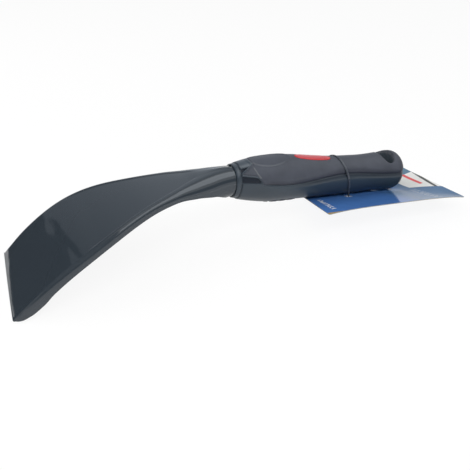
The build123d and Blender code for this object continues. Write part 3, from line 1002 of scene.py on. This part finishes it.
def printed_card():
    """Glossy blue print with a white panel, a red bar and some pale marks, on raw board."""
    material, tree, shader = new_material("printed_card", (0.045, 0.12, 0.33), 0.1, 0.4)
    shader.inputs["IOR"].default_value = 1.27
    spread = node(tree, "ShaderNodeUVMap", uv_map="print").outputs["UV"]
    along, over, _ = node(tree, "ShaderNodeSeparateXYZ", {"Vector": spread}).outputs
    along, over = product(along, print_unit), product(over, print_unit)
    ink = noise(spread, 14, 3.0)
    covered = above_line(covered_end, along, 4.0)
    # the panel ends in a slanted foot, and in a dark slanted line near the card's end
    over_foot = above_line(over, plus(88.9, along, -0.656), 0.3)
    panel = product(over_foot, above_line(along, panel_start, 0.3), above_line(panel_end, over, 0.3))
    bar = product(between(along, *bar_along, 0.25), between(over, *bar_over, 0.4), panel)
    from_line = calc("SUBTRACT", along, plus(94.6, over, 0.1226))
    line = product(between(from_line, -1.0, 1.0, 0.25), over_foot, above_line(63.0, over, 0.3))
    # a row of small marks near the front end, and a fainter one near the rear end
    dashes = node(tree, "ShaderNodeTexWave", {"Vector": spread, "Scale": 11.0, "Distortion": 6.0,
                                              "Detail": 1.0, "Detail Scale": 3.0}, bands_direction="Y")
    speckle = mapped(dashes.outputs["Fac"], 0.45, 0.6)
    row = product(between(along, *row_along, 0.3), between(over, *row_over, 0.5), speckle)
    faint = product(between(along, *faint_along, 0.5), between(over, *faint_over, 1.0), speckle, 0.25)
    # raw board shows at the near front corner, where along + 4 * over is small
    from_corner = plus(plus(along, over, 4.0), noise(spread, 60, 2.0), 3.0)
    # greyer towards the rear end: a painted reflection
    layers = [(mapped(along, 55.0, 68.0, 0.0, 0.8), painted_reflection_grey),
              # paler on the card's far strip: painted glare
              (above_line(over, 58.0, 0.6), painted_glare_blue),
              # lighter just in front of the handle's contact line: painted light that lifts the handle's
              # shade on the card
              (product(mapped(over, 31.0, 41.0, 0.0, 0.8), covered), painted_light_blue),
              (panel, white), (bar, red), (line, black), (row, mark_white), (faint, mark_grey)]
    layers += [(ring_mask(along, over, spot), ring_blue) for spot in tie_holes]
    layers.append((above_line(12.5, from_corner, 0.5), board))
    color = mixed(ink, deep_blue, blue)
    for mask, layer_color in layers:
        color = mixed(mask, color, layer_color)
    feed(shader, "Base Color", color)
    feed(shader, "Roughness", mapped(ink, 0.3, 0.7, 0.08, 0.14))
    # the strip pressed against the handle is scuffed and doesn't shine
    scuffed = product(between(over, *scuffed_over, 1.5), covered)
    feed(shader, "Specular IOR Level", mapped(scuffed, 0.0, 1.0, 0.4, 0.02))
    return material


def card_edge():
    material, tree, shader = new_material("card_edge", (0.3, 0.28, 0.24), 0.8)
    fibre = noise(object_place(tree), 900, 3.0)
    feed(shader, "Base Color", mixed(fibre, (0.16, 0.18, 0.2), (0.34, 0.32, 0.27)))
    return material


# ---------- studio, in metres
camera_place = Vector((27.71, -250.12, 181.0)) * MM
camera_turn, camera_pitch, camera_roll = radians(24.2), radians(34.39), radians(-0.68)
sensor_width, lens = 36, 38.2979
floor_half, floor_drop = 3.0, 0.0002
wall_centre = 0.03
cool_white = (0.9, 0.95, 1.0)


def make_camera():
    """The camera at the photograph's viewing angle."""
    forward = Vector((sin(camera_turn), cos(camera_turn), 0))
    ahead = forward * cos(camera_pitch) + Vector((0, 0, -sin(camera_pitch)))
    level = Vector((cos(camera_turn), -sin(camera_turn), 0))
    upright = level.cross(ahead)
    right = level * cos(camera_roll) + upright * sin(camera_roll)
    top = upright * cos(camera_roll) - level * sin(camera_roll)
    data = bpy.data.cameras.new("camera")
    data.sensor_width = sensor_width
    data.lens = lens
    data.clip_start, data.clip_end = 0.01, 50
    camera = add_object("camera", data)
    columns = Matrix((right, top, -ahead)).transposed().to_4x4()
    camera.matrix_world = Matrix.Translation(camera_place) @ columns
    bpy.context.scene.camera = camera


def lamp(name, at, to, size, power):
    """A soft lamp; the highlights come from the walls instead, so gloss doesn't see it."""
    data = bpy.data.lights.new(name, "AREA")
    data.shape = "RECTANGLE"
    data.size, data.size_y = size
    data.energy = power
    obj = add_object(name, data)
    obj.location = at
    obj.rotation_euler = (Vector(to) - Vector(at)).to_track_quat("-Z", "Y").to_euler()
    obj.visible_glossy = False


def make_world():
    """White where the camera or a mirror looks, and half as bright as a light."""
    world = bpy.data.worlds.new("studio")
    bpy.context.scene.world = world
    world.use_nodes = True
    tree = world.node_tree
    shader = tree.nodes["Background"]
    shader.inputs["Color"].default_value = (1, 1, 1, 1)
    feed(shader, "Strength", mapped(ray_share(tree, 1.0, 1.0), 0, 1, 0.5, 1.0))


def make_floor():
    """A white floor that keeps its soft shadows, nearly white to the camera and dim in the gloss."""
    mesh = bpy.data.meshes.new("floor")
    corners = [(-1, -1), (1, -1), (1, 1), (-1, 1)]
    mesh.from_pydata([(x * floor_half, y * floor_half, 0) for x, y in corners], [], [(0, 1, 2, 3)])
    floor = add_object("floor", mesh)
    floor.location.z = -floor_drop
    material, tree, shader = new_material("floor", (0.92, 0.92, 0.92), 0.9, 0.0)
    ways = {0: ray_share(tree, 0.9, 0.3), 1: shader.outputs[0], 2: light(tree, (1, 1, 1), 1.0)}
    show(tree, node(tree, "ShaderNodeMixShader", ways).outputs[0])
    mesh.materials.append(material)


def curved_wall(name, turns, climbs, radius):
    """Part of a sphere round the object, from turn to turn and climb to climb, that only gloss sees."""
    turns = np.radians(np.linspace(*turns, 61))
    climbs = np.radians(np.linspace(*climbs, 41))
    points = [(wall_centre + radius * cos(t) * cos(c), radius * sin(t) * cos(c), radius * sin(c))
              for c in climbs for t in turns]
    mesh = bpy.data.meshes.new(name)
    mesh.from_pydata(points, [], grid_faces(len(climbs), len(turns)))
    wall = add_object(name, mesh)
    for kind in ("camera", "diffuse", "shadow", "transmission", "volume_scatter"):
        setattr(wall, "visible_" + kind, False)
    material, tree, shader = new_material(name, (0, 0, 0), 1.0)
    tree.nodes.remove(shader)
    mesh.materials.append(material)
    return tree


def make_walls():
    """Plain walls in the gloss, each with its name, turns, climbs, radius and light.

    The flag draws a dark line under the highlights, the skirt hides the floor from the tip's mirror, the
    softbox draws the blade's highlight, and the side wall dims what the blade's front part mirrors.
    """
    walls = (
        ("flag", (-170, -10), (13, 31), 1.5, 0.12),
        ("skirt", (95, 160), (-0.5, 3), 0.2, 0.026),
        ("softbox", (-62, 15), (44, 66), 1.45, 3.0),
        ("side", (-190, -66), (31, 88), 1.5, 0.35))
    for *wall, strength in walls:
        tree = curved_wall(*wall)
        show(tree, light(tree, cool_white, strength))


def make_backdrop():
    """A wall behind the object, dimmer towards both ends, with a dark ragged shape low at the left."""
    radius = 1.6
    tree = curved_wall("backdrop", (30, 175), (-1, 72), radius)
    parts = node(tree, "ShaderNodeSeparateXYZ", {"Vector": object_place(tree)}).outputs
    turn = calc("ARCTAN2", parts["Y"], calc("SUBTRACT", parts["X"], wall_centre))
    climb = calc("ARCSINE", calc("DIVIDE", parts["Z"], radius))
    # (from turn, to turn, brightness before, brightness after)
    fades = ((64, 90, 1.0, 0.54), (90, 116, 1.0, 0.4), (42, 60, 0.7, 1.0), (31, 39, 0.6, 1.0))
    levels = [mapped(turn, radians(low), radians(high), *shares) for low, high, *shares in fades]
    ragged = noise(object_place(tree), 7.0, 3.0)
    border = calc("ADD", turn, mapped(ragged, 0.3, 0.7, -0.07, 0.07))
    rim = calc("ADD", climb, mapped(ragged, 0.3, 0.7, -0.1, 0.1))
    dark = product(mapped(border, radians(115.3), radians(115.9)),
                   mapped(rim, radians(26), radians(26.6), 1.0, 0.0))
    levels.append(mapped(dark, 0.0, 1.0, 1.0, 0.12))
    show(tree, light(tree, (0.89, 0.965, 1.07), product(*levels)))


def main():
    core_material = hard_plastic()
    grip_material = soft_rubber()
    make_blade(lacquer())
    make_handle(core_material, grip_material)
    make_collar(core_material)
    make_badge(red_plastic())
    make_card(printed_card(), card_edge())
    make_tie(nylon())
    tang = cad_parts["tang"]
    tang.data.materials.clear()
    tang.data.materials.append(bare_steel())
    make_camera()
    make_world()
    make_floor()
    make_backdrop()
    make_walls()
    lamp("key", (0.05, -0.43, 0.76), (0.08, 0, 0.03), (1.8, 0.34), 5.4)
    lamp("fill", (-0.5, 0.4, 0.7), (0.1, 0, 0.02), (0.7, 0.7), 4.3)
    lamp("front", (0.42, -0.45, 0.05), (0.22, 0, 0.015), (0.25, 0.1), 0.9)
    bpy.context.scene.view_settings.view_transform = "Standard"


main()
